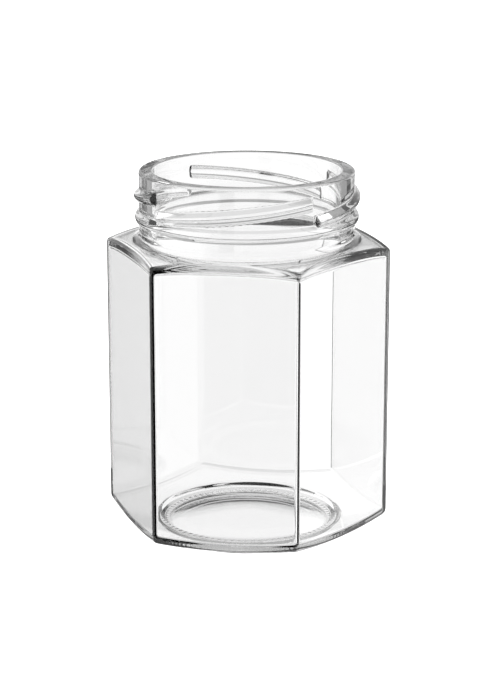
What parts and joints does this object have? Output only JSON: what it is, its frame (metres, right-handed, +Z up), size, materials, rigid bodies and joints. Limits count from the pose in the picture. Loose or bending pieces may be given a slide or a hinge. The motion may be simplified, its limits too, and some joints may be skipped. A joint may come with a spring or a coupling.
{
  "type": "glass packaging jar",
  "caption": "Empty six-sided clear glass food jar with a short round neck, interrupted threads for a twist-off cap and a round foot with a knurled face.",
  "frame": {"origin": "centre of the flat face of the round foot that the jar stands on", "axes": "+Z up along the axis of the neck, +X through an upright edge of the six-sided body, +Y through the middle of a flat panel"},
  "size_m": [0.0792, 0.0688, 0.1021],
  "materials": {
    "clear_glass": "clear, colourless, fire-polished"
  },
  "bodies": {
    "root": {"jar": "clear_glass"}
  },
  "joints": []
}
